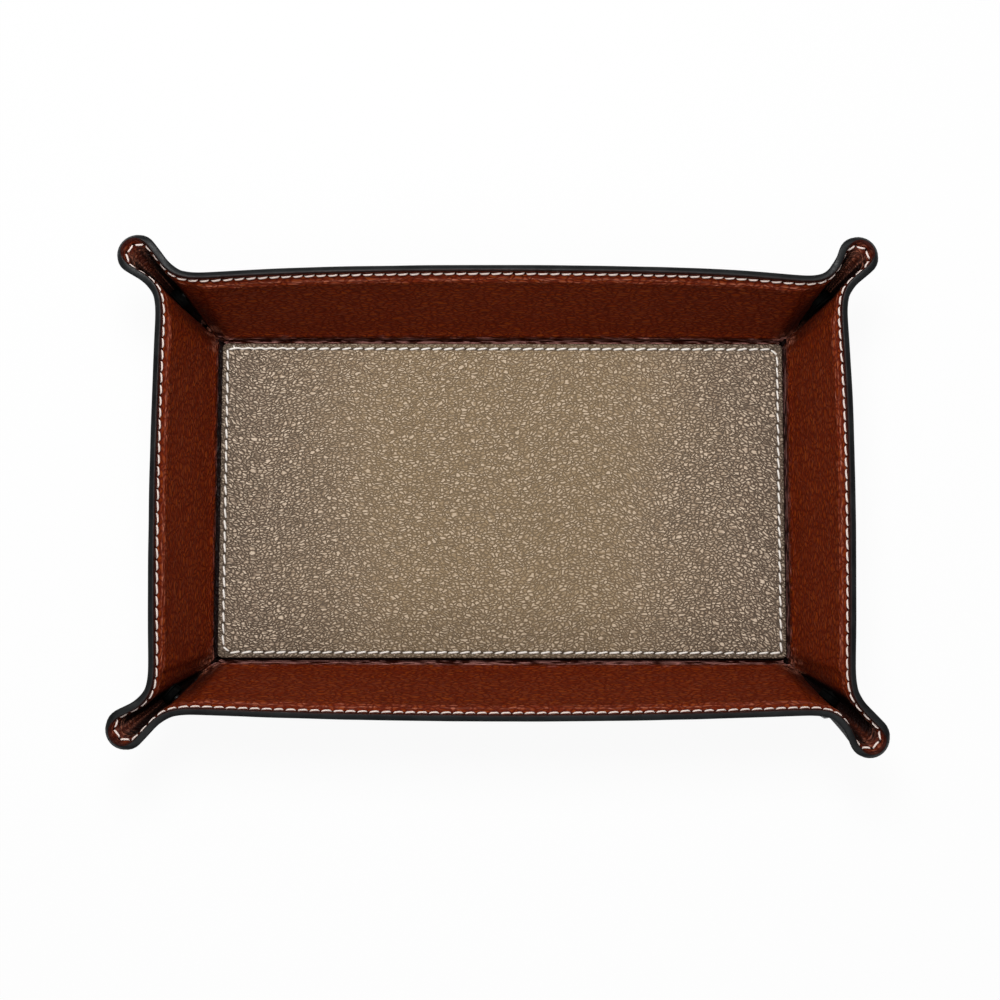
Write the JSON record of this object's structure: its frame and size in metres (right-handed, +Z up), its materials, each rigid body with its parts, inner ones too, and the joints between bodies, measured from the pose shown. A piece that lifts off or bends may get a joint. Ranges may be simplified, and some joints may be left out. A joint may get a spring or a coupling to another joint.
{
  "type": "valet tray",
  "caption": "Shallow rectangular leather tray with a stitched flat base panel, four leaning walls and pinched corners that form small ears.",
  "frame": {"origin": "middle of the underside, under the middle of the base panel", "axes": "+X along the tray's length, +Y towards its back wall, +Z up"},
  "size_m": [0.2626, 0.1782, 0.0375],
  "materials": {
    "outer_leather": "black pebbled leather, satin",
    "lining_leather": "chestnut pebbled leather, satin",
    "panel_leather": "taupe pebbled leather, satin",
    "stiffener": "grey pressed fibre board",
    "stud_metal": "gunmetal plated",
    "thread": "waxed cream thread",
    "edge_paint": "black painted leather edge, satin"
  },
  "bodies": {
    "root": {"outer_cover": "outer_leather", "inner_lining": "lining_leather", "base_board": "stiffener", "back_wall_board": "stiffener", "front_wall_board": "stiffener", "left_wall_board": "stiffener", "right_wall_board": "stiffener", "panel_backing": "stiffener", "base_panel": "panel_leather", "stud_cap_back_right": "stud_metal", "stud_cap_back_left": "stud_metal", "stud_cap_front_left": "stud_metal", "stud_cap_front_right": "stud_metal", "stud_socket_back_right": "stud_metal", "stud_socket_back_left": "stud_metal", "stud_socket_front_left": "stud_metal", "stud_socket_front_right": "stud_metal", "stud_ball_back_right": "stud_metal", "stud_ball_back_left": "stud_metal", "stud_ball_front_left": "stud_metal", "stud_ball_front_right": "stud_metal", "stud_eyelet_back_right": "stud_metal", "stud_eyelet_back_left": "stud_metal", "stud_eyelet_front_left": "stud_metal", "stud_eyelet_front_right": "stud_metal"}
  },
  "joints": []
}
